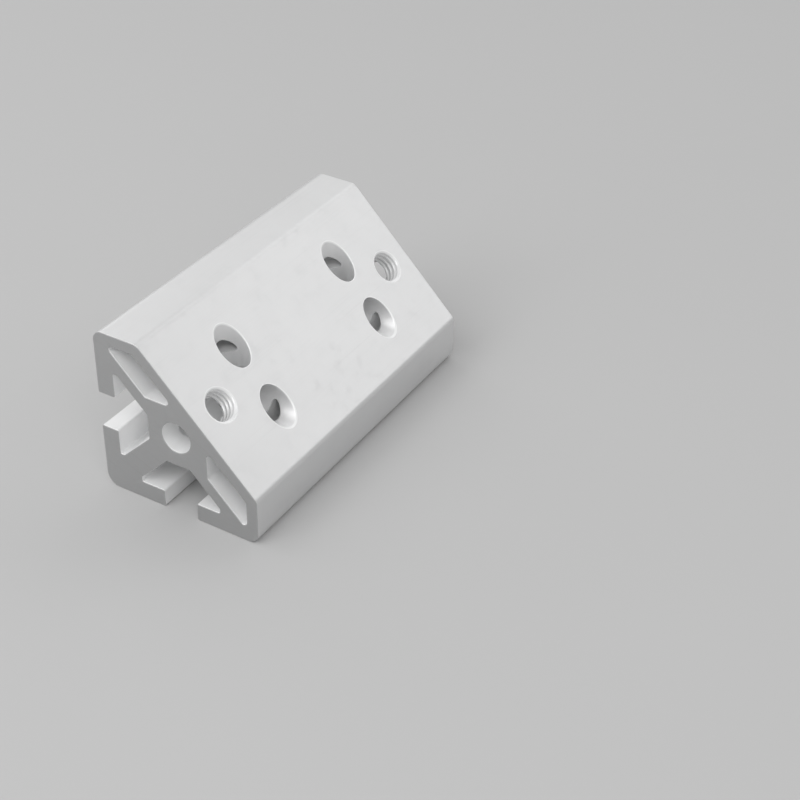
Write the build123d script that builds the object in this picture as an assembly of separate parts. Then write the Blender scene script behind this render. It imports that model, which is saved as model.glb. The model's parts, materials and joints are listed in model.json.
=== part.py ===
from build123d import *
import os
from math import sqrt

# Corner bracket for slotted aluminium framing: a right-angled extrusion with a
# sloping face, a T-slot in each leg and hollow chambers under the slope. It is
# cut to length, then bored from the slope into both slots and tapped.
#
# Frame, in millimetres: +Y runs along the extrusion, +Z is up. The bracket
# stands on its base leg; its back leg rises on the -X side and the slope faces
# +X and +Z. The origin is the centre of the bottom of the overall box.
#
# The section is drawn with the heel, where the two legs meet, at its origin,
# the base leg along the first axis and the back leg along the second. The legs
# mirror each other, so each shape is drawn once, for the base leg, and its
# points are swapped for the back leg.

# ---- outline of the section ----
leg_width = 38.5         # face of a leg, from the heel to its tip
tip_height = 11.0        # flat that closes the tip of a leg
heel_radius = 3.0        # corner where the two faces meet
tip_radius = 2.6         # corner between a face and its tip flat
slope_radius = 2.0       # corner between a tip flat and the slope
length = 80.0            # cut length of the extrusion
end_bevel = 0.2          # bevel that breaks every edge of the two cut ends

# ---- T-slot in the middle of each leg ----
slot_mouth = 8.2         # gap between the two lips
lip_thickness = 4.2      # from the face to the back of the lips
channel_width = 19.8     # behind the lips, at the widest
channel_side = 1.1       # straight side, before the flank turns in at 45 degrees
channel_floor = 5.9      # flat floor between the flanks
lip_radius = 0.4         # edges of the lips
channel_radius = 0.4     # corners inside the channel

# ---- walls round the two chambers under the slope ----
slope_wall = 2.8         # between a chamber and the slope
tip_wall = 2.7           # between a chamber and the tip flat
web_thickness = 2.9      # between a chamber and the flank of the channel
core_wall = 3.8          # between a chamber and the core bore
chamber_radius = 0.8     # corners of a chamber

# ---- bores ----
core_bore = 7.0          # diameter, along the whole extrusion
access_bore = 7.2        # diameter, from the slope through to the floor of a slot
access_pitch = 40.0      # between the two access bores of a leg
tap_drill = 6.8          # drilled diameter of the tapped holes
tapped_end = 8.0         # from each cut end to the nearer tapped hole
tapped_bevel = 0.6       # bevel round the mouth of a tapped hole

DIAGONAL = sqrt(2)       # length along x + z = constant per unit of x, and the like
FILLET_SHARE = 0.45      # most of a chamber's width that its corner radius may take

core_height = leg_width / 2                     # the core bore, the slots and the access bores line up here
channel_shoulder = lip_thickness + channel_side
channel_depth = channel_shoulder + (channel_width - channel_floor) / 2


def swapped(points):
    """Return the points of the base leg as they lie on the back leg, in reverse order."""
    return [(z, x) for x, z in reversed(points)]


def outer_profile():
    """Return the closed outline of the section with both slots, as one rounded wire."""
    mouth, channel, floor = slot_mouth / 2, channel_width / 2, channel_floor / 2
    slot_side = [
        (mouth, 0, lip_radius),
        (mouth, lip_thickness, lip_radius),
        (channel, lip_thickness, channel_radius),
        (channel, channel_shoulder, channel_radius),
        (floor, channel_depth, channel_radius),
    ]
    near_heel = [(core_height - across, depth) for across, depth, _ in slot_side]
    near_tip = [(core_height + across, depth) for across, depth, _ in reversed(slot_side)]
    slot_radii = [radius for _, _, radius in slot_side]
    leg = near_heel + near_tip + [(leg_width, 0), (leg_width, tip_height)]
    leg_radii = slot_radii + slot_radii[::-1] + [tip_radius, slope_radius]
    return FilletPolyline(
        *[(0, 0)] + leg + swapped(leg),
        radius=[heel_radius] + leg_radii + leg_radii[::-1],
        close=True,
    )


def chamber_corners():
    """Return the four corners of the chamber at the tip of the base leg."""
    web_line = core_height + channel_shoulder + channel_width / 2 + web_thickness * DIAGONAL
    slope_line = leg_width + tip_height - slope_wall * DIAGONAL
    tip_side = leg_width - tip_wall
    core_side = core_height + core_bore / 2 + core_wall
    return [
        (core_side, web_line - core_side),
        (tip_side, web_line - tip_side),
        (tip_side, slope_line - tip_side),
        (core_side, slope_line - core_side),
    ]


def section():
    """Return the face that is extruded: the outline less the chambers and the core bore."""
    corners = chamber_corners()
    chamber_width = (corners[2][1] - corners[1][1]) / DIAGONAL
    radius = min(chamber_radius, chamber_width * FILLET_SHARE)
    face = make_face(outer_profile())
    for points in (corners, swapped(corners)):
        face -= make_face(FilletPolyline(*points, radius=radius, close=True))
    return face - Pos(core_height, core_height) * Circle(core_bore / 2)


def access_bores():
    """Return the tools that open the slope into the slot of each leg."""
    from_slot = Pos(0, 0, channel_shoulder) * Cylinder(
        access_bore / 2, leg_width, align=(Align.CENTER, Align.CENTER, Align.MIN)
    )
    base_leg = [place * from_slot for place in GridLocations(0, access_pitch, 1, 2)]
    bisector = Plane(origin=(0, 0, core_height), z_dir=(1, 0, -1))
    return base_leg + [mirror(bore, about=bisector) for bore in base_leg]


def tapped_holes():
    """Return the tools of the tapped holes, square to the slope and down to the core bore."""
    slope_to_core = tip_height / DIAGONAL
    core_axis = Plane(origin=(0, 0, core_height), x_dir=(0, 1, 0), z_dir=(1, 0, 1))
    above_core = (Align.CENTER, Align.CENTER, Align.MIN)
    drill = Cylinder(tap_drill / 2, slope_to_core, align=above_core)
    bevel = Pos(0, 0, slope_to_core - tapped_bevel) * Cone(
        tap_drill / 2, tap_drill / 2 + tapped_bevel, tapped_bevel, align=above_core
    )
    spacing = length - 2 * tapped_end
    return [core_axis * place * (drill + bevel) for place in GridLocations(spacing, 0, 2, 1)]


def bracket():
    """Return the finished bracket in its own frame."""
    blank = extrude(Plane.XZ * Pos(-core_height, 0) * section(), length / 2, both=True)
    cut_ends = blank.faces().filter_by(Axis.Y)
    blank = chamfer(cut_ends.edges(), end_bevel)
    return blank - access_bores() - tapped_holes()


os.makedirs("parts", exist_ok=True)
export_step(bracket(), "parts/bracket.step")
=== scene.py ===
"""Finished corner bracket for slotted framing, in its satin aluminium.

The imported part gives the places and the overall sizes. This script cuts the
same bracket again with what the workshop leaves on it: broken edges round the
sawn ends and the bores, and real threads and drilled ends in the tapped holes.
It then gives each kind of surface its own finish, and adds a pale floor, soft
light and a camera.

Shapes are worked out in millimetres, as on a drawing, and are scaled once to
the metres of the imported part. +Y runs along the extrusion and +Z is up.
"""

import json
import logging
import math
from dataclasses import dataclass, field
from enum import Enum

import bmesh
import bpy
from mathutils import Matrix, Vector
from mathutils.geometry import delaunay_2d_cdt

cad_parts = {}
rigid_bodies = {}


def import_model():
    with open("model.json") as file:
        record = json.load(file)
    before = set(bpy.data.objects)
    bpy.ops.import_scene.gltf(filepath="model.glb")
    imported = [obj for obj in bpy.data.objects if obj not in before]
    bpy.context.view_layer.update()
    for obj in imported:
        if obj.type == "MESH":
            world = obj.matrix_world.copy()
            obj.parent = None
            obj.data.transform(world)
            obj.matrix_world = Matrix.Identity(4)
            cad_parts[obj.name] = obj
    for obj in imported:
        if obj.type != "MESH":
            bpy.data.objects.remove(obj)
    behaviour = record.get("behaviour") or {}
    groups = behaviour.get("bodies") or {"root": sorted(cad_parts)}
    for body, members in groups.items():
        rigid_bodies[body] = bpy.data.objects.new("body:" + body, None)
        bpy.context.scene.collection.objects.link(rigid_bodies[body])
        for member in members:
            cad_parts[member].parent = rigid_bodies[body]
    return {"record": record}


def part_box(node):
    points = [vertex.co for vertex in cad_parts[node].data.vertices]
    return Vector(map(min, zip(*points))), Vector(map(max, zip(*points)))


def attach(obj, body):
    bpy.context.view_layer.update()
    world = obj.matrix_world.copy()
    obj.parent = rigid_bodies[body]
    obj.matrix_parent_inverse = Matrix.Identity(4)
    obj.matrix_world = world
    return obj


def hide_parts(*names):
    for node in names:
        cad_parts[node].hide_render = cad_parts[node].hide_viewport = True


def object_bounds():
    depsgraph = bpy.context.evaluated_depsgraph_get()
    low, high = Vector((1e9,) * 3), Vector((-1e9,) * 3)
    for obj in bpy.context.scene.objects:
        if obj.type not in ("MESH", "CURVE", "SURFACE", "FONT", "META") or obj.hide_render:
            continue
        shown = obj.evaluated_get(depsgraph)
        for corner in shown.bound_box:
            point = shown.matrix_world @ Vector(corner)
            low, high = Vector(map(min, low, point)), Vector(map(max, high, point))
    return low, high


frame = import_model()
cad_box = [list(corner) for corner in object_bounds()]

log = logging.getLogger("bracket")

MM = 0.001
DIAGONAL = math.sqrt(2)
WELD = 0.0002  # distance in millimetres at which two vertices are one
INSIDE_LOOPS = 1  # the kind of fill that makes triangles inside the loops alone
OUTLINE = 0  # place of the outline among the loops of a sawn end


class Surface(Enum):
    """How a surface of the bracket was made. The value is its material slot on the mesh."""

    EXTRUDED = 0
    SAWN = 1
    BASE_BORE = 2
    BACK_BORE = 3
    TAPPED = 4
    INNER = 5
    RIM = 6


# outlines
# --------


@dataclass(frozen=True)
class Corner:
    """One corner of an outline, before it is rounded.

    Attributes:
        across: distance from the heel along the base leg, in millimetres.
        up: distance from the heel along the back leg, in millimetres.
        radius: radius that the corner is rounded to, in millimetres.
    """

    across: float
    up: float
    radius: float

    def swapped(self) -> "Corner":
        """Return the same corner on the other leg."""
        return Corner(self.up, self.across, self.radius)


@dataclass(frozen=True)
class RimPoint:
    """A point of a rounded outline, with the direction that leaves the outline there."""

    place: Vector
    outward: Vector

    def moved(self, distance: float) -> Vector:
        """Return the point moved out of the outline by a distance."""
        return self.place + self.outward * distance


def rounded(corners: list[Corner], step: float) -> list[RimPoint]:
    """Round the corners of a closed outline that is listed anticlockwise.

    Args:
        corners: the corners in order.
        step: largest turn between two points of an arc, in radians.

    Returns:
        The points of the rounded outline, in the same order.
    """
    points = []
    for index, corner in enumerate(corners):
        before, after = corners[index - 1], corners[(index + 1) % len(corners)]
        here = Vector((corner.across, corner.up))
        arriving = (here - Vector((before.across, before.up))).normalized()
        leaving = (Vector((after.across, after.up)) - here).normalized()
        turn = math.atan2(arriving.cross(leaving), arriving.dot(leaving))
        bend = math.copysign(corner.radius, turn)
        outward = Vector((arriving.y, -arriving.x))
        start = here - arriving * corner.radius * math.tan(abs(turn) / 2)
        centre = start - outward * bend
        steps = max(2, math.ceil(abs(turn) / step))
        for count in range(steps + 1):
            direction = outward.copy()
            direction.rotate(Matrix.Rotation(turn * count / steps, 2))
            points.append(RimPoint(centre + direction * bend, direction))
    return points


@dataclass(frozen=True)
class Section:
    """The section of the extrusion, with the heel at its origin, in millimetres.

    Attributes:
        leg_width: width of each leg.
        core_bore: diameter of the bore that runs the length of the bracket.
        tip_height: height of the flat at the tip of each leg.
        heel_radius: radius of the corner between the two legs.
        tip_radius: radius of the corner between a leg's face and its tip.
        slope_radius: radius of the fold between a tip and the slope.
        slot_mouth: width of a slot between its lips.
        lip_thickness: thickness of the lips.
        channel_width: width of the channel behind the lips.
        channel_side: height of the channel's straight sides.
        channel_floor: width of the channel's flat floor.
        lip_radius: radius of the edges of the lips.
        channel_radius: radius of the channel's corners.
        slope_wall: thickness of the wall under the slope.
        tip_wall: thickness of the wall at a tip.
        web_thickness: thickness of the web between a chamber and a channel.
        core_wall: distance between the core bore and a chamber.
        chamber_radius: radius of the chambers' corners.
        arc_step: largest turn between two points of an arc, in radians.
    """

    leg_width: float
    core_bore: float
    tip_height: float = 11.0
    heel_radius: float = 3.0
    tip_radius: float = 2.6
    slope_radius: float = 2.0
    slot_mouth: float = 8.2
    lip_thickness: float = 4.2
    channel_width: float = 19.8
    channel_side: float = 1.1
    channel_floor: float = 5.9
    lip_radius: float = 0.4
    channel_radius: float = 0.4
    slope_wall: float = 2.8
    tip_wall: float = 2.7
    web_thickness: float = 2.9
    core_wall: float = 3.8
    chamber_radius: float = 0.8
    arc_step: float = math.radians(7.5)

    @property
    def centre(self) -> float:
        """Distance of the core bore and of each slot from the faces of the legs."""
        return self.leg_width / 2

    @property
    def shoulder(self) -> float:
        """Depth at which the flanks of a channel turn in."""
        return self.lip_thickness + self.channel_side

    @property
    def slope_height(self) -> float:
        """Distance from the core bore's axis to the slope, square to the slope."""
        return self.tip_height / DIAGONAL

    def cover(self, place: Vector) -> float:
        """Return how deep a place on the bracket lies under its legs and its slope."""
        under_slope = (self.leg_width + self.tip_height - place.x - place.z) / DIAGONAL
        return min(place.x, place.z, self.leg_width - place.x, self.leg_width - place.z, under_slope)

    def outline(self) -> list[RimPoint]:
        """Work out the outside of the section, with both slots.

        Returns:
            Its points, anticlockwise from the heel.
        """
        mouth, channel, floor = self.slot_mouth / 2, self.channel_width / 2, self.channel_floor / 2
        depth = self.shoulder + channel - floor
        half_slot = [
            (mouth, 0.0, self.lip_radius),
            (mouth, self.lip_thickness, self.lip_radius),
            (channel, self.lip_thickness, self.channel_radius),
            (channel, self.shoulder, self.channel_radius),
            (floor, depth, self.channel_radius),
        ]
        leg = [Corner(self.centre - across, up, radius) for across, up, radius in half_slot]
        leg += [Corner(self.centre + across, up, radius) for across, up, radius in reversed(half_slot)]
        leg += [
            Corner(self.leg_width, 0.0, self.tip_radius),
            Corner(self.leg_width, self.tip_height, self.slope_radius),
        ]
        heel = Corner(0.0, 0.0, self.heel_radius)
        return rounded([heel] + leg + [corner.swapped() for corner in reversed(leg)], self.arc_step)

    def chambers(self) -> list[list[RimPoint]]:
        """Work out the two hollow chambers under the slope.

        Returns:
            The points of each outline, with the base leg's chamber first.
        """
        web_line = self.centre + self.shoulder + self.channel_width / 2 + self.web_thickness * DIAGONAL
        slope_line = self.leg_width + self.tip_height - self.slope_wall * DIAGONAL
        tip_side = self.leg_width - self.tip_wall
        core_side = self.centre + self.core_bore / 2 + self.core_wall
        base = [
            Corner(core_side, web_line - core_side, self.chamber_radius),
            Corner(tip_side, web_line - tip_side, self.chamber_radius),
            Corner(tip_side, slope_line - tip_side, self.chamber_radius),
            Corner(core_side, slope_line - core_side, self.chamber_radius),
        ]
        back = [corner.swapped() for corner in reversed(base)]
        return [rounded(base, self.arc_step), rounded(back, self.arc_step)]

    def core(self) -> list[RimPoint]:
        """Work out the bore that runs the length of the bracket.

        Returns:
            The points of its outline, two to each arc step.
        """
        axis = Vector((self.centre, self.centre))
        steps = 2 * round(math.tau / self.arc_step)
        angles = [math.tau * count / steps for count in range(steps)]
        directions = [Vector((math.cos(angle), math.sin(angle))) for angle in angles]
        return [RimPoint(axis + way * self.core_bore / 2, way) for way in directions]


# meshes
# ------


def skin_rings(solid: bmesh.types.BMesh, rings: list[list[Vector]]) -> list[list[bmesh.types.BMVert]]:
    """Join rings of as many points each by bands of faces.

    Args:
        solid: the mesh that gets the faces.
        rings: closed rings of points, in order.

    Returns:
        The vertices of each ring.
    """
    made = [[solid.verts.new(point) for point in ring] for ring in rings]
    for lower, upper in zip(made, made[1:]):
        for index, vertex in enumerate(lower):
            solid.faces.new((lower[index - 1], vertex, upper[index], upper[index - 1]))
    return made


def close_flat(solid: bmesh.types.BMesh, rings: list[list[bmesh.types.BMVert]]) -> None:
    """Close a sawn end with faces between its outline and the openings in it.

    Args:
        solid: the mesh that gets the faces.
        rings: the outline's vertices and those of each opening, all at one place along +Y.
    """
    vertices, loops = [], []
    for ring in rings:
        loops.append([len(vertices) + index for index in range(len(ring))])
        vertices += ring
    flat = [vertex.co.xz for vertex in vertices]
    _, _, faces, sources, _, owners = delaunay_2d_cdt(flat, [], loops, INSIDE_LOOPS, WELD)
    for face, owner in zip(faces, owners):
        if owner == [OUTLINE]:
            solid.faces.new([vertices[sources[corner][0]] for corner in face])


def finished_mesh(solid: bmesh.types.BMesh, name: str, surface: Surface) -> bpy.types.Object:
    """Turn a closed solid into an object.

    Args:
        solid: the mesh, which is freed.
        name: name of the object.
        surface: the kind of surface of its faces, apart from those marked as rims.

    Returns:
        The new object.
    """
    bmesh.ops.recalc_face_normals(solid, faces=solid.faces)
    for face in solid.faces:
        if face.material_index != Surface.RIM.value:
            face.material_index = surface.value
    mesh = bpy.data.meshes.new(name)
    solid.to_mesh(mesh)
    solid.free()
    made = bpy.data.objects.new(name, mesh)
    bpy.context.scene.collection.objects.link(made)
    return made


@dataclass(frozen=True)
class Axis:
    """A local frame that a bore is worked out in.

    Attributes:
        origin: a point on the bore's axis.
        along: direction of the axis, out of the slope.
        beside: direction square to the axis and to +Y, towards the lower edge of what is cut.
    """

    origin: Vector
    along: Vector
    beside: Vector

    def point(self, beside: float, length: float, along: float) -> Vector:
        """Return the place of a point given by its three distances in this frame."""
        return self.origin + self.beside * beside + Vector((0, length, 0)) + self.along * along

    def polar(self, radius: float, angle: float, along: float) -> Vector:
        """Return the place of a point given by its radius and its angle round the axis."""
        return self.point(radius * math.cos(angle), radius * math.sin(angle), along)


def eased(start: Vector, corner: Vector, end: Vector, share: float) -> Vector:
    """Return a point on the curve that rounds a corner between a start and an end."""
    return start.lerp(corner, share).lerp(corner.lerp(end, share), share)


@dataclass(frozen=True)
class AccessBore:
    """The tool of one plain bore from the slope into a slot, with its broken rim.

    Attributes:
        axis: the bore's frame, with its origin on the core bore's axis.
        radius: radius of the bore.
        bottom: where the tool starts, measured along the axis.
        slope_along: where the axis meets the slope.
        surface: the kind of surface that it leaves.
        rim: width of the broken edge at the slope.
        sides: number of faces round the bore.
        rim_steps: bands of faces across the broken edge.
        clearance: how far the tool stands out of the slope.
    """

    axis: Axis
    radius: float
    bottom: float
    slope_along: float
    surface: Surface
    rim: float = 0.3
    sides: int = 128
    rim_steps: int = 6
    clearance: float = 2.0

    def tool(self, name: str) -> bpy.types.Object:
        """Make the solid that is cut away.

        Args:
            name: name of the object.

        Returns:
            The new object.
        """
        off_slope = (self.axis.along + self.axis.beside).normalized()
        down_slope = (self.axis.beside - self.axis.along).normalized()
        columns = []
        for side in range(self.sides):
            angle = math.tau * side / self.sides
            edge = self.axis.polar(self.radius, angle, self.slope_along - self.radius * math.cos(angle))
            wall = edge - self.axis.along * self.rim
            lean = Vector((math.cos(angle) / DIAGONAL, math.sin(angle))).normalized()
            face = edge + (down_slope * lean.x + Vector((0, lean.y, 0))) * self.rim
            column = [self.axis.polar(self.radius, angle, self.bottom)]
            column += [eased(wall, edge, face, step / self.rim_steps) for step in range(self.rim_steps + 1)]
            column.append(face + off_slope * self.clearance)
            columns.append(column)
        solid = bmesh.new()
        made = skin_rings(solid, [list(ring) for ring in zip(*columns)])
        solid.faces.ensure_lookup_table()
        for face in solid.faces[self.sides:-self.sides]:
            face.material_index = Surface.RIM.value
        solid.faces.new(made[0])
        solid.faces.new(made[-1])
        return finished_mesh(solid, name, self.surface)


@dataclass(frozen=True)
class TappedHole:
    """The tools of one tapped hole: a screw thread, its drilled end and the bevel at its mouth.

    Attributes:
        axis: the hole's frame, with its origin on the core bore's axis.
        drill: radius of the drilled wall, which the crests of the thread reach.
        slope_along: where the axis meets the slope.
        root: radius of the roots of the thread.
        pitch: distance between two turns.
        mouth: radius of the bevel where it meets the slope.
        crest_share: share of the pitch that the flat crests take.
        root_share: share of the pitch that the flat roots take.
        start: where the thread begins along the axis, inside the core bore.
        blind_top: where the tool of the drilled end stops, inside the core bore.
        drill_overrun: how far the drilled wall goes on past the core bore's axis.
        drill_point: angle of the drill's point, in radians.
        tip_share: radius of the very tip of that point, as a share of the drill's.
        overrun: how far the tools stand out of the slope.
        sides: number of faces round the hole.
        bevel_steps: bands of faces across the bevel.
    """

    axis: Axis
    drill: float
    slope_along: float
    root: float = 3.95
    pitch: float = 1.25
    mouth: float = 4.0
    crest_share: float = 0.3
    root_share: float = 0.16
    start: float = 0.6
    blind_top: float = 0.3
    drill_overrun: float = 5.0
    drill_point: float = math.radians(118)
    tip_share: float = 0.02
    overrun: float = 2.0
    sides: int = 96
    bevel_steps: int = 3

    def profile(self) -> list[tuple[float, float]]:
        """List the thread's steps over one pitch.

        Returns:
            Each step as a share of the pitch and a radius.
        """
        flank = (1 - self.crest_share - self.root_share) / 2
        return [
            (0.0, self.drill),
            (self.crest_share, self.drill),
            (self.crest_share + flank, self.root),
            (self.crest_share + flank + self.root_share, self.root),
        ]

    def thread(self, name: str) -> bpy.types.Object:
        """Make the screw that is cut away, as one surface that winds up the axis.

        Args:
            name: name of the object.

        Returns:
            The new object.
        """
        profile = self.profile()
        turns = math.ceil((self.slope_along - self.start + self.overrun) / self.pitch)
        levels = [(turn + share, radius) for turn in range(turns) for share, radius in profile]
        solid = bmesh.new()
        columns = []
        for side in range(self.sides + 1):
            turn = side / self.sides
            columns.append([
                self.axis.polar(radius, math.tau * turn, self.start + (level + turn) * self.pitch)
                for level, radius in levels
            ])
        first = [solid.verts.new(point) for point in columns[0]]
        grid = [first]
        grid += [[solid.verts.new(point) for point in column] for column in columns[1:-1]]
        last_turn = [solid.verts.new(point) for point in columns[-1][-len(profile):]]
        grid.append(first[len(profile):] + last_turn)
        for column, following in zip(grid, grid[1:]):
            for level in range(len(levels) - 1):
                solid.faces.new((column[level], following[level], following[level + 1], column[level + 1]))
        self.close_end(solid, grid, first[:len(profile) + 1], 0)
        self.close_end(solid, grid, [grid[-1][-1 - len(profile)]] + last_turn, -1)
        return finished_mesh(solid, name, Surface.TAPPED)

    def close_end(
        self,
        solid: bmesh.types.BMesh,
        grid: list[list[bmesh.types.BMVert]],
        seam: list[bmesh.types.BMVert],
        level: int,
    ) -> None:
        """Close one end of the screw with a fan from a point on its axis.

        Args:
            solid: the screw's mesh.
            grid: its vertices, a column for each side.
            seam: the vertices that lead along the axis from the first column to the last.
            level: index of the end's level in a column.
        """
        along = (seam[0].co - self.axis.origin).dot(self.axis.along)
        hub = solid.verts.new(self.axis.point(0.0, 0.0, along))
        for column, following in zip(grid, grid[1:]):
            solid.faces.new((hub, column[level], following[level]))
        for lower, upper in zip(seam, seam[1:]):
            solid.faces.new((hub, lower, upper))

    def turned(self, name: str, profile: list[tuple[float, float]], surface: Surface) -> bpy.types.Object:
        """Make a solid that is turned round the axis.

        Args:
            name: name of the object.
            profile: radius and place along the axis of each of its rings.
            surface: the kind of surface that it leaves.

        Returns:
            The new object.
        """
        angles = [math.tau * side / self.sides for side in range(self.sides)]
        rings = [[self.axis.polar(radius, angle, along) for angle in angles] for radius, along in profile]
        solid = bmesh.new()
        made = skin_rings(solid, rings)
        solid.faces.new(made[0])
        solid.faces.new(made[-1])
        return finished_mesh(solid, name, surface)

    def blind_end(self, name: str) -> bpy.types.Object:
        """Make the tool of the drilled end, which enters the far wall of the core bore.

        Args:
            name: name of the object.

        Returns:
            The new object.
        """
        tip = self.drill * self.tip_share
        point = (self.drill - tip) / math.tan(self.drill_point / 2)
        shoulder = -self.drill_overrun
        profile = [(tip, shoulder - point), (self.drill, shoulder), (self.drill, self.blind_top)]
        return self.turned(name, profile, Surface.TAPPED)

    def bevel(self, name: str) -> bpy.types.Object:
        """Make the tool that breaks the edge of the mouth.

        Args:
            name: name of the object.

        Returns:
            The new object.
        """
        width = self.mouth - self.drill
        profile = [(self.drill - width, self.slope_along - 2 * width)]
        for step in range(self.bevel_steps + 1):
            curve = eased(
                Vector((self.drill, self.slope_along - width, 0)),
                Vector((self.drill, self.slope_along, 0)),
                Vector((self.mouth, self.slope_along, 0)),
                step / self.bevel_steps,
            )
            profile.append((curve.x, curve.y))
        profile.append((self.mouth, self.slope_along + self.overrun))
        return self.turned(name, profile, Surface.RIM)


# the bracket
# -----------


def subtract(body: bpy.types.Object, tool: bpy.types.Object) -> None:
    """Cut a tool out of a body for good.

    Args:
        body: the object that is cut.
        tool: the object that is cut out of it, which is deleted.
    """
    cut = body.modifiers.new("cut", "BOOLEAN")
    cut.operation = "DIFFERENCE"
    cut.solver = "EXACT"
    cut.object = tool
    evaluated = body.evaluated_get(bpy.context.evaluated_depsgraph_get())
    before, tool_mesh = body.data, tool.data
    body.data = bpy.data.meshes.new_from_object(evaluated)
    body.modifiers.clear()
    bpy.data.objects.remove(tool)
    bpy.data.meshes.remove(before)
    bpy.data.meshes.remove(tool_mesh)


def weld(mesh: bpy.types.Mesh) -> None:
    """Join the vertices that the cuts left on top of each other.

    Args:
        mesh: the mesh that is mended.
    """
    solid = bmesh.new()
    solid.from_mesh(mesh)
    bmesh.ops.remove_doubles(solid, verts=solid.verts, dist=WELD)
    bmesh.ops.dissolve_degenerate(solid, edges=solid.edges, dist=WELD)
    solid.to_mesh(mesh)
    solid.free()


@dataclass(frozen=True)
class Bracket:
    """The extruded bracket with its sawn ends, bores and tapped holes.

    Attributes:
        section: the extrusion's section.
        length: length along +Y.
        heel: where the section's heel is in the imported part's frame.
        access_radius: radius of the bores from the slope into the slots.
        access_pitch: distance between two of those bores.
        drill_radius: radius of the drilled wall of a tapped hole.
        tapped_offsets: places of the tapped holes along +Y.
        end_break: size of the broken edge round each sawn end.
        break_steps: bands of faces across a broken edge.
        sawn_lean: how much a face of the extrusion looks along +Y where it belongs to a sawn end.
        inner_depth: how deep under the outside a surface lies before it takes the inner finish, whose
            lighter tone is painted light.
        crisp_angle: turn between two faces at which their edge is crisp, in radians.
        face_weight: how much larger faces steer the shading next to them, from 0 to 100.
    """

    section: Section
    length: float
    heel: Vector
    access_radius: float
    access_pitch: float
    drill_radius: float
    tapped_offsets: tuple[float, ...]
    end_break: float = 0.25
    break_steps: int = 3
    sawn_lean: float = 0.2
    inner_depth: float = 1.0
    crisp_angle: float = math.radians(38)
    face_weight: int = 80

    @classmethod
    def from_frame(cls, record: dict) -> "Bracket":
        """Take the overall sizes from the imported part, in millimetres.

        Args:
            record: the part's record, with its mounts.

        Returns:
            The bracket to build.
        """
        low, high = (Vector(corner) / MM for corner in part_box("bracket"))
        mounts = {mount["name"]: mount for mount in record["mounts"]}
        bores, tapped = mounts["base_bores"]["dims"], mounts["tapped_hole_a"]["dims"]
        return cls(
            section=Section(leg_width=high.x - low.x, core_bore=2 * mounts["core_bore"]["dims"]["r_mm"]),
            length=high.y - low.y,
            heel=Vector((low.x, (low.y + high.y) / 2, low.z)),
            access_radius=bores["hole_r_mm"],
            access_pitch=bores["spacing_y_mm"],
            drill_radius=tapped["r_mm"],
            tapped_offsets=tuple(
                mounts[name]["pos_m"][1] / MM for name in ("tapped_hole_a", "tapped_hole_b")
            ),
        )

    def build(self) -> bpy.types.Object:
        """Make the whole bracket.

        Returns:
            One object, with smooth curves and crisp edges.
        """
        body = self.extrusion()
        for tool in self.tools():
            subtract(body, tool)
        mesh = body.data
        weld(mesh)
        mesh.transform(Matrix.Scale(MM, 4) @ Matrix.Translation(self.heel))
        mesh.shade_smooth()
        mesh.set_sharp_from_angle(angle=self.crisp_angle)
        crisp = body.modifiers.new("crisp", "WEIGHTED_NORMAL")
        crisp.keep_sharp = True
        crisp.weight = self.face_weight
        return body

    def extrusion(self) -> bpy.types.Object:
        """Make the plain extrusion, closed by its two sawn ends.

        Returns:
            Its object, with each face marked by its kind of surface.
        """
        solid = bmesh.new()
        loops = [(self.section.outline(), 1.0), (self.section.core(), -1.0)]
        loops += [(chamber, -1.0) for chamber in self.section.chambers()]
        near_end, far_end = [], []
        for points, side in loops:
            rings = []
            for along, inset in self.stations():
                places = [point.moved(-side * inset) for point in points]
                rings.append([Vector((place.x, along, place.y)) for place in places])
            made = skin_rings(solid, rings)
            near_end.append(made[0])
            far_end.append(made[-1])
        close_flat(solid, near_end)
        close_flat(solid, far_end)
        body = finished_mesh(solid, "bracket_body", Surface.EXTRUDED)
        # faces that look along +Y, the broken edges of the ends among them, take the sawn finish, whose
        # darker tone is painted shade
        for face in body.data.polygons:
            if abs(face.normal.y) > self.sawn_lean:
                face.material_index = Surface.SAWN.value
            # surfaces deep inside the slots and chambers take the inner finish, painted lighter as painted
            # light
            elif self.section.cover(face.center) > self.inner_depth:
                face.material_index = Surface.INNER.value
        return body

    def stations(self) -> list[tuple[float, float]]:
        """Work out the rings of the extrusion, with its broken edges.

        Returns:
            The place of each ring along +Y, and its inset.
        """
        near = []
        for step in range(self.break_steps + 1):
            curve = eased(
                Vector((0.0, self.end_break, 0.0)),
                Vector((0.0, 0.0, 0.0)),
                Vector((self.end_break, 0.0, 0.0)),
                step / self.break_steps,
            )
            near.append((curve.x - self.length / 2, curve.y))
        return near + [(-along, inset) for along, inset in reversed(near)]

    def tools(self) -> list[bpy.types.Object]:
        """Make everything that is cut out of the extrusion.

        Returns:
            The solids of the bores and the tapped holes, in the order of the cuts.
        """
        section = self.section
        up, over = Vector((0.0, 0.0, 1.0)), Vector((1.0, 0.0, 0.0))
        legs = [("base", up, over, Surface.BASE_BORE), ("back", over, up, Surface.BACK_BORE)]
        made = []
        for offset in (-self.access_pitch / 2, self.access_pitch / 2):
            origin = Vector((section.centre, offset, section.centre))
            for leg, along, beside, surface in legs:
                bore = AccessBore(
                    axis=Axis(origin, along, beside),
                    radius=self.access_radius,
                    bottom=section.shoulder - section.centre,
                    slope_along=section.tip_height,
                    surface=surface,
                )
                made.append(bore.tool(f"{leg}_bore"))
        for offset in self.tapped_offsets:
            origin = Vector((section.centre, offset, section.centre))
            hole = TappedHole(
                axis=Axis(origin, (up + over).normalized(), (over - up).normalized()),
                drill=self.drill_radius,
                slope_along=section.slope_height,
            )
            made += [hole.thread("thread"), hole.blind_end("blind_end"), hole.bevel("mouth_bevel")]
        return made


# finishes
# --------


BROAD_FINENESS = 0.21  # number of broad tool marks to each fine one
BROAD_HEIGHT = 0.6  # height of the broad tool marks, as a share of the fine ones


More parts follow.
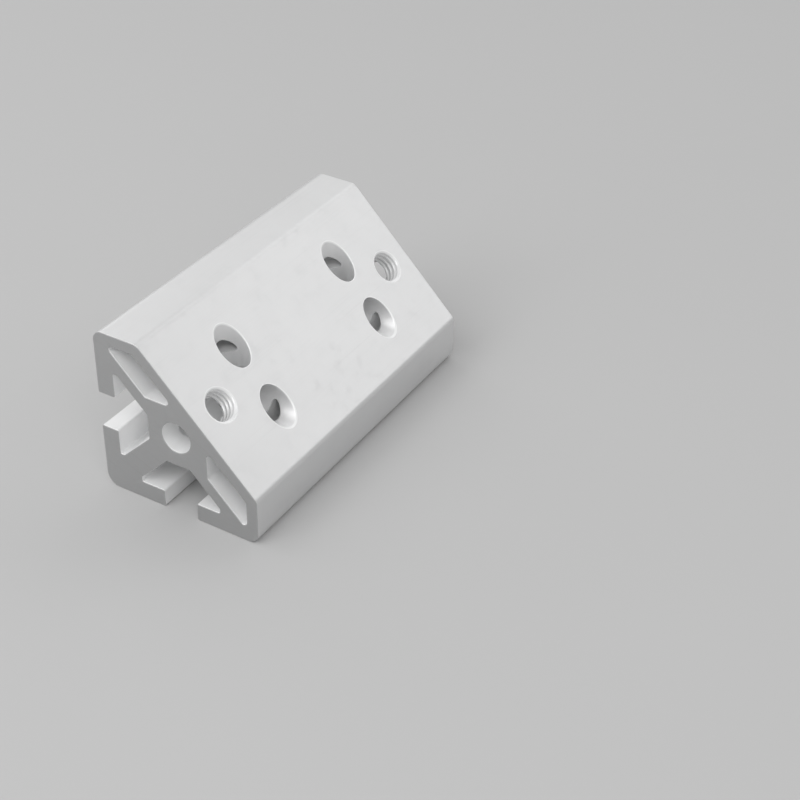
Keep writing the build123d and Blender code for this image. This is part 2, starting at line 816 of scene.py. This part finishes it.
@dataclass(frozen=True)
class NodeSheet:
    """A node tree that is being laid out."""

    tree: bpy.types.NodeTree

    def node(self, kind: str, inputs: dict[str | int, object], **settings: object) -> bpy.types.Node:
        """Add a node.

        Args:
            kind: Blender's name of the node type.
            inputs: what goes into its sockets, by name or number: another socket or a value.
            settings: properties of the node.

        Returns:
            The new node.
        """
        made = self.tree.nodes.new(kind)
        for name, setting in settings.items():
            setattr(made, name, setting)
        for name, value in inputs.items():
            if isinstance(value, bpy.types.NodeSocket):
                self.tree.links.new(value, made.inputs[name])
            else:
                made.inputs[name].default_value = value
        return made

    def math(self, operation: str, *values: object) -> bpy.types.NodeSocket:
        """Add a Math node and return its result."""
        return self.node("ShaderNodeMath", dict(enumerate(values)), operation=operation).outputs[0]

    def times(self, vector: object, factors: tuple[float, float, float]) -> bpy.types.NodeSocket:
        """Return a vector with each of its parts multiplied by a factor."""
        parts = {0: vector, 1: factors}
        return self.node("ShaderNodeVectorMath", parts, operation="MULTIPLY").outputs["Vector"]

    def between(self, factor: object, low: float, high: float) -> bpy.types.NodeSocket:
        """Return a value that goes from low to high as the factor goes from 0 to 1."""
        inputs = {"Value": factor, "To Min": low, "To Max": high}
        return self.node("ShaderNodeMapRange", inputs).outputs["Result"]

    def blend(self, factor: object, first: object, second: object) -> bpy.types.NodeSocket:
        """Return the mix of two colours. The colour sockets of a Mix node go by number."""
        return self.node("ShaderNodeMix", {0: factor, 6: first, 7: second}, data_type="RGBA").outputs[2]


def effect(
    name: str, inputs: dict[str, float | None], outputs: list[str]
) -> tuple[NodeSheet, bpy.types.NodeOutputs, bpy.types.Node]:
    """Start a shader node group.

    Args:
        name: name of the group.
        inputs: default of each input by name, or None for a vector.
        outputs: names of its values.

    Returns:
        The sheet that the group is laid out on, what it is given, and its output node.
    """
    tree = bpy.data.node_groups.new(name, "ShaderNodeTree")
    for label, default in inputs.items():
        kind = "NodeSocketVector" if default is None else "NodeSocketFloat"
        socket = tree.interface.new_socket(label, in_out="INPUT", socket_type=kind)
        if default is not None:
            socket.default_value = default
    for label in outputs:
        tree.interface.new_socket(label, in_out="OUTPUT", socket_type="NodeSocketFloat")
    sheet = NodeSheet(tree)
    return sheet, sheet.node("NodeGroupInput", {}).outputs, sheet.node("NodeGroupOutput", {})


def tool_marks() -> bpy.types.NodeTree:
    """Lay out the fine lines that a die, a saw or a drill leaves.

    The vector counts millimetres across the lines, and hardly changes along them. The group puts out the
    lines' height and a mask of the deeper ones, which the finishes paint darker as painted shade.

    Returns:
        The node group.
    """
    sheet, given, result = effect("tool_marks", {"Vector": None, "Fineness": 4.0}, ["Height", "Deep"])
    fine = sheet.node(
        "ShaderNodeTexNoise",
        {"Vector": given["Vector"], "Scale": given["Fineness"], "Detail": 3.0, "Roughness": 0.65},
    )
    broad_fineness = sheet.math("MULTIPLY", given["Fineness"], BROAD_FINENESS)
    broad = sheet.node(
        "ShaderNodeTexNoise", {"Vector": given["Vector"], "Scale": broad_fineness, "Detail": 2.0}
    )
    broad_height = sheet.math("MULTIPLY", broad.outputs["Fac"], BROAD_HEIGHT)
    height = sheet.math("ADD", broad_height, fine.outputs["Fac"])
    deep = sheet.node(
        "ShaderNodeMapRange", {"Value": fine.outputs["Fac"], "From Min": 0.56, "From Max": 0.78}
    )
    sheet.tree.links.new(height, result.inputs["Height"])
    sheet.tree.links.new(deep.outputs["Result"], result.inputs["Deep"])
    return sheet.tree


def etched_grain() -> bpy.types.NodeTree:
    """Lay out the matt grain of the etched and anodised surface.

    The group puts out the grain's height, soft cloudy patches, and the few
    places where handling has left the surface duller.

    Returns:
        The node group.
    """
    sheet, given, result = effect(
        "etched_grain", {"Vector": None, "Grain": 9.0}, ["Height", "Patches", "Handled"]
    )
    grain = sheet.node(
        "ShaderNodeTexNoise",
        {"Vector": given["Vector"], "Scale": given["Grain"], "Detail": 4.0, "Roughness": 0.7},
    )
    patches = sheet.node("ShaderNodeTexNoise", {"Vector": given["Vector"], "Scale": 0.09, "Detail": 3.0})
    rubbed = sheet.node(
        "ShaderNodeTexNoise",
        {"Vector": given["Vector"], "Scale": 0.32, "Detail": 5.0, "Roughness": 0.62, "Distortion": 0.7},
    )
    handled = sheet.node(
        "ShaderNodeMapRange", {"Value": rubbed.outputs["Fac"], "From Min": 0.54, "From Max": 0.74}
    )
    sheet.tree.links.new(grain.outputs["Fac"], result.inputs["Height"])
    sheet.tree.links.new(patches.outputs["Fac"], result.inputs["Patches"])
    sheet.tree.links.new(handled.outputs["Result"], result.inputs["Handled"])
    return sheet.tree


def edge_wear_and_highlight() -> bpy.types.NodeTree:
    """Lay out the brighter colour along edges, partly worn metal and partly a painted highlight.

    The group compares the surface with the same surface rounded over a small
    radius, and puts out a mask that is 1 on the edges.

    Returns:
        The node group.
    """
    sheet, given, result = effect("edge_wear_and_highlight", {"Radius": 0.0003, "Reach": 6.0}, ["Mask"])
    rounded_off = sheet.node("ShaderNodeBevel", {"Radius": given["Radius"]}, samples=4)
    plain = sheet.node("ShaderNodeNewGeometry", {})
    alike = sheet.node(
        "ShaderNodeVectorMath",
        {0: rounded_off.outputs["Normal"], 1: plain.outputs["Normal"]},
        operation="DOT_PRODUCT",
    )
    turned = sheet.math("MULTIPLY", sheet.math("SUBTRACT", 1.0, alike.outputs["Value"]), given["Reach"])
    sheet.tree.links.new(sheet.math("MINIMUM", turned, 1.0), result.inputs["Mask"])
    return sheet.tree


@dataclass(frozen=True)
class Effects:
    """The node groups that every finish of the bracket shares.

    Attributes:
        marks: the fine lines of the tools.
        grain: the matt grain of the surface.
        wear_and_highlight: the brighter colour along edges, partly worn metal and partly a painted
            highlight.
    """

    marks: bpy.types.NodeTree = field(default_factory=tool_marks)
    grain: bpy.types.NodeTree = field(default_factory=etched_grain)
    wear_and_highlight: bpy.types.NodeTree = field(default_factory=edge_wear_and_highlight)


@dataclass(frozen=True)
class Stroke:
    """The way a tool went over a surface.

    Attributes:
        turn: rotation that brings the tool's direction onto an axis of the frame.
        stretch: how fast the marks change along each axis, from 0 to 1.
        blade: centre of a saw blade in the X-Z plane, in millimetres, where the marks are its arcs.
    """

    turn: tuple[float, float, float] = (0.0, 0.0, 0.0)
    stretch: tuple[float, float, float] = (1.0, 1.0, 1.0)
    blade: tuple[float, float, float] | None = None

    def vector(self, sheet: NodeSheet, place: bpy.types.NodeSocket) -> bpy.types.NodeSocket:
        """Return a vector that changes by 1 for each millimetre across the marks.

        Args:
            sheet: the material being laid out.
            place: the place on the bracket, in millimetres.

        Returns:
            The vector's socket.
        """
        if self.blade is None:
            turning = {"Vector": place, "Rotation": self.turn}
            turned = sheet.node("ShaderNodeMapping", turning, vector_type="TEXTURE").outputs["Vector"]
            return sheet.times(turned, self.stretch)
        flat = sheet.times(place, (1.0, 0.0, 1.0))
        radius = sheet.node("ShaderNodeVectorMath", {0: flat, 1: self.blade}, operation="DISTANCE")
        along = sheet.node("ShaderNodeSeparateXYZ", {"Vector": flat}).outputs["Z"]
        arcs = {"X": radius.outputs["Value"], "Y": sheet.math("MULTIPLY", along, self.stretch[2])}
        return sheet.node("ShaderNodeCombineXYZ", arcs).outputs["Vector"]


@dataclass(frozen=True)
class Finish:
    """One finish of the anodised aluminium.

    Attributes:
        name: name of the material.
        stroke: how the tool went over the surface.
        tone: brightness of the metal.
        roughness: how matt the metal is.
        fineness: number of tool marks in a millimetre.
        depth: height of the tool marks, in metres.
        contrast: how much darker the deeper marks are painted, as painted shade in the grooves.
        edge_wear_and_highlight_tone: colour along the edges, partly worn metal and partly a painted
            highlight.
        edge_polish: how much less matt the metal is along the edges.
        metallic: share of the light that the surface mirrors like bare metal.
        coolness: how far its blue stands above its red.
        cloud_tones: tones of the darkest and lightest patches, as shares of the tone.
        mark_shade_tone: tone of the painted shade in the deeper marks at full contrast, as a share of the
            tone.
        handled_matt: how much more matt the handled places are.
        marked_matt: how much more matt the deeper marks are.
        grain_depth: height of the etched grain, in metres.
    """

    name: str
    stroke: Stroke
    tone: float = 0.80
    roughness: float = 0.40
    fineness: float = 4.0
    depth: float = 0.000012
    contrast: float = 0.05
    edge_wear_and_highlight_tone: float = 0.93
    edge_polish: float = 0.18
    metallic: float = 1.0
    coolness: float = 0.004
    cloud_tones: tuple[float, float] = (0.96, 1.02)
    mark_shade_tone: float = 0.35
    handled_matt: float = 0.07
    marked_matt: float = 0.06
    grain_depth: float = 0.000006

    def grey(self, tone: float) -> tuple[float, float, float, float]:
        """Return the colour of the metal at a brightness, a trace cooler than neutral."""
        return (tone - self.coolness / 2, tone, tone + self.coolness / 2, 1.0)

    def material(self, effects: Effects) -> bpy.types.Material:
        """Return the material of this finish.

        Args:
            effects: the node groups that the finishes share.

        Returns:
            The new material.
        """
        made = bpy.data.materials.new(self.name)
        made.use_nodes = True
        made.diffuse_color = self.grey(self.tone)
        made.node_tree.nodes.clear()
        sheet = NodeSheet(made.node_tree)
        frame_place = sheet.node("ShaderNodeTexCoord", {}).outputs["Object"]
        place = sheet.times(frame_place, (1 / MM, 1 / MM, 1 / MM))
        marks = sheet.node(
            "ShaderNodeGroup",
            {"Vector": self.stroke.vector(sheet, place), "Fineness": self.fineness},
            node_tree=effects.marks,
        )
        grain = sheet.node("ShaderNodeGroup", {"Vector": place}, node_tree=effects.grain)
        wear_and_highlight = sheet.node("ShaderNodeGroup", {}, node_tree=effects.wear_and_highlight)

        dark, light = (self.grey(self.tone * share) for share in self.cloud_tones)
        clouded = sheet.blend(grain.outputs["Patches"], dark, light)
        # the deeper tool marks are painted darker: painted shade in the grooves
        marked = sheet.math("MULTIPLY", marks.outputs["Deep"], self.contrast)
        lined = sheet.blend(marked, clouded, self.grey(self.tone * self.mark_shade_tone))
        # the edges are painted brighter: partly worn metal, partly a painted highlight
        colour = sheet.blend(wear_and_highlight.outputs["Mask"], lined, self.grey(self.edge_wear_and_highlight_tone))

        matt = sheet.between(grain.outputs["Handled"], self.roughness, self.roughness + self.handled_matt)
        marked_matt = sheet.math("MULTIPLY", marks.outputs["Deep"], self.marked_matt)
        polish = sheet.math("MULTIPLY", wear_and_highlight.outputs["Mask"], self.edge_polish)
        roughness = sheet.math("SUBTRACT", sheet.math("ADD", matt, marked_matt), polish)
        lines = sheet.node(
            "ShaderNodeBump",
            {"Height": marks.outputs["Height"], "Distance": self.depth, "Strength": 1.0},
        )
        etched = sheet.node(
            "ShaderNodeBump",
            {
                "Height": grain.outputs["Height"],
                "Distance": self.grain_depth,
                "Strength": 1.0,
                "Normal": lines.outputs["Normal"],
            },
        )
        metal = sheet.node(
            "ShaderNodeBsdfPrincipled",
            {
                "Base Color": colour,
                "Metallic": self.metallic,
                "Roughness": roughness,
                "Normal": etched.outputs["Normal"],
            },
        )
        sheet.node("ShaderNodeOutputMaterial", {"Surface": metal.outputs["BSDF"]})
        return made


SKEW = 0.02  # how fast the marks of a saw or a drill change along themselves
DRAWN = Stroke(stretch=(1.0, 0.006, 1.0))
FINISHES = {
    Surface.EXTRUDED: Finish(name="drawn_satin", stroke=DRAWN, fineness=5.0),
    # the darker tone of the sawn ends is painted shade; their saw marks are real
    Surface.SAWN: Finish(
        name="sawn_painted_shade_satin",
        stroke=Stroke(blade=(-60.0, 0.0, -110.0), stretch=(0.0, 0.0, SKEW)),
        fineness=3.4,
        tone=0.53,
        roughness=0.46,
        edge_wear_and_highlight_tone=0.66,
        depth=0.00002,
        contrast=0.10,
    ),
    Surface.BASE_BORE: Finish(
        name="bored_base_satin",
        stroke=Stroke(stretch=(SKEW, SKEW, 1.0)),
        fineness=6.0,
        tone=0.88,
        metallic=0.4,
    ),
    Surface.BACK_BORE: Finish(
        name="bored_back_satin",
        stroke=Stroke(stretch=(1.0, SKEW, SKEW)),
        fineness=6.0,
        tone=0.88,
        metallic=0.4,
    ),
    Surface.TAPPED: Finish(
        name="tapped_satin",
        stroke=Stroke(turn=(0.0, math.radians(45), 0.0), stretch=(SKEW, SKEW, 1.0)),
        fineness=8.0,
        tone=0.93,
        roughness=0.38,
        edge_wear_and_highlight_tone=0.95,
        metallic=0.35,
    ),
    # the broken rims are painted near white: partly bare deburred metal, partly a painted highlight
    Surface.RIM: Finish(
        name="bright_rim_painted_highlight_satin",
        stroke=Stroke(),
        fineness=6.0,
        tone=0.97,
        roughness=0.30,
        edge_wear_and_highlight_tone=0.97,
        metallic=0.2,
    ),
    # the inner finish is painted lighter than the outside: painted light in the slots and chambers
    Surface.INNER: Finish(
        name="inner_painted_light_satin",
        stroke=DRAWN,
        fineness=5.0,
        tone=0.90,
        roughness=0.50,
        metallic=0.15,
    ),
}


# studio
# ------


def compass(azimuth: float, elevation: float) -> Vector:
    """Return the direction to a place round the bracket, where azimuth 0 is -Y and 90 degrees is +X."""
    turn, rise = math.radians(azimuth), math.radians(elevation)
    return Vector((math.sin(turn) * math.cos(rise), -math.cos(turn) * math.cos(rise), math.sin(rise)))


@dataclass(frozen=True)
class Floor:
    """A plain pale floor that the bracket lies on.

    Attributes:
        half_width: half of its width, in metres.
        squares: number of faces along each side.
        tone: brightness of the floor.
        mottle: how far its tone goes up and down, as a share of it.
        roughness: how matt it is.
        drop: gap between the floor and the bracket, in metres.
    """

    half_width: float = 4.0
    squares: int = 8
    tone: float = 0.52
    mottle: float = 0.015
    roughness: float = 0.9
    drop: float = 0.00002

    def build(self) -> None:
        """Make the floor."""
        solid = bmesh.new()
        bmesh.ops.create_grid(
            solid, x_segments=self.squares, y_segments=self.squares, size=self.half_width
        )
        mesh = bpy.data.meshes.new("studio_floor")
        solid.to_mesh(mesh)
        solid.free()
        made = bpy.data.objects.new("studio_floor", mesh)
        made.location.z = -self.drop
        bpy.context.scene.collection.objects.link(made)
        mesh.materials.append(self.material())

    def material(self) -> bpy.types.Material:
        """Lay out the floor's matt, faintly mottled finish.

        Returns:
            The new material.
        """
        made = bpy.data.materials.new("pale_paper")
        made.use_nodes = True
        made.node_tree.nodes.clear()
        sheet = NodeSheet(made.node_tree)
        place = sheet.node("ShaderNodeTexCoord", {}).outputs["Object"]
        mottle = sheet.node("ShaderNodeTexNoise", {"Vector": place, "Scale": 7.0, "Detail": 4.0})
        dark, light = self.tone * (1 - self.mottle), self.tone * (1 + self.mottle)
        colour = sheet.blend(mottle.outputs["Fac"], (dark, dark, dark, 1.0), (light, light, light, 1.0))
        paper = sheet.node(
            "ShaderNodeBsdfPrincipled", {"Base Color": colour, "Roughness": self.roughness}
        )
        sheet.node("ShaderNodeOutputMaterial", {"Surface": paper.outputs["BSDF"]})
        return made


@dataclass(frozen=True)
class SoftBox:
    """A large soft lamp that faces the bracket.

    Attributes:
        name: name of the lamp.
        azimuth: where it stands round the bracket, in degrees.
        elevation: how high it stands, in degrees.
        level: brightness of its face, where a white floor in full sky is 1.
        distance: how far off it stands, in metres.
        width: size of its square face, in metres.
    """

    name: str
    azimuth: float
    elevation: float
    level: float
    distance: float = 1.1
    width: float = 0.6

    def build(self, aim: Vector) -> None:
        """Make the lamp.

        Args:
            aim: the point that it is turned towards.
        """
        lamp = bpy.data.lights.new(self.name, "AREA")
        lamp.shape = "SQUARE"
        lamp.size = self.width
        lamp.energy = self.level * math.pi * self.width**2
        made = bpy.data.objects.new(self.name, lamp)
        towards = compass(self.azimuth, self.elevation)
        made.location = aim + towards * self.distance
        made.rotation_euler = towards.to_track_quat("Z", "Y").to_euler()
        bpy.context.scene.collection.objects.link(made)


@dataclass(frozen=True)
class Studio:
    """The light round the bracket.

    Attributes:
        surround: brightness of the even pale surround.
        boxes: the soft boxes.
    """

    surround: float = 0.50
    boxes: tuple[SoftBox, ...] = (
        SoftBox("key_box", azimuth=40.0, elevation=48.0, level=2.3),
        SoftBox("front_high_box", azimuth=-20.0, elevation=48.0, level=2.0),
        SoftBox("front_low_box", azimuth=-20.0, elevation=22.0, level=1.3),
        SoftBox("left_box", azimuth=-70.0, elevation=50.0, level=1.3),
        SoftBox("back_right_box", azimuth=140.0, elevation=28.0, level=0.7),
        SoftBox("back_box", azimuth=175.0, elevation=46.0, level=0.6),
        SoftBox("back_left_box", azimuth=210.0, elevation=33.0, level=0.45),
        SoftBox("far_left_box", azimuth=245.0, elevation=25.0, level=0.8),
    )

    def build(self, aim: Vector) -> None:
        """Light the scene.

        Args:
            aim: the point that the boxes are turned towards.
        """
        world = bpy.data.worlds.new("pale_surround")
        world.use_nodes = True
        world.node_tree.nodes.clear()
        sheet = NodeSheet(world.node_tree)
        sky = sheet.node("ShaderNodeBackground", {"Color": (1.0, 1.0, 1.0, 1.0), "Strength": self.surround})
        sheet.node("ShaderNodeOutputWorld", {"Surface": sky.outputs["Background"]})
        bpy.context.scene.world = world
        for box in self.boxes:
            box.build(aim)


@dataclass(frozen=True)
class Viewpoint:
    """Where the camera stands, looking down on the slope from the near end.

    Attributes:
        azimuth: angle of the camera round +Z, in degrees.
        elevation: angle of the camera above the floor, in degrees.
        roll: tilt of the camera about its own line of sight, in degrees.
        aim: the point of the floor that it looks at, from the middle of the base, in metres.
        distance: distance from that point, in metres.
        lens: focal length, in millimetres.
        picture_width: width of the picture behind the lens, in millimetres.
        near_share: where the camera begins to see, as a share of the distance.
    """

    azimuth: float = 30.01
    elevation: float = 35.51
    roll: float = 1.32
    aim: tuple[float, float] = (0.01752, 0.01850)
    distance: float = 0.35749
    lens: float = 70.574
    picture_width: float = 36.0
    near_share: float = 0.01

    def build(self) -> None:
        """Make the camera, and set it as the scene's own."""
        camera = bpy.data.cameras.new("studio_camera")
        camera.sensor_width = self.picture_width
        camera.lens = self.lens
        camera.clip_start = self.distance * self.near_share
        made = bpy.data.objects.new("studio_camera", camera)
        bpy.context.scene.collection.objects.link(made)
        place = Vector((*self.aim, 0.0)) + compass(self.azimuth, self.elevation) * self.distance
        made.matrix_world = (
            Matrix.Translation(place)
            @ Matrix.Rotation(math.radians(self.azimuth), 4, "Z")
            @ Matrix.Rotation(math.radians(90 - self.elevation), 4, "X")
            @ Matrix.Rotation(math.radians(self.roll), 4, "Z")
        )
        bpy.context.scene.camera = made


def main() -> None:
    """Build the bracket and its studio in order, and report each piece."""
    logging.basicConfig(level=logging.INFO, format="%(name)s: %(message)s")
    body = Bracket.from_frame(frame["record"]).build()
    effects = Effects()
    for surface in Surface:
        body.data.materials.append(FINISHES[surface].material(effects))
    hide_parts("bracket")
    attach(body, "root")
    log.info("bracket_body: %d faces", len(body.data.polygons))

    low, high = (Vector(corner) for corner in cad_box)
    Floor().build()
    Studio().build(aim=(low + high) / 2)
    Viewpoint().build()
    bpy.context.scene.view_settings.view_transform = "Standard"
    log.info("studio: floor, lamps and camera are in place")


if __name__ == "__main__":
    main()
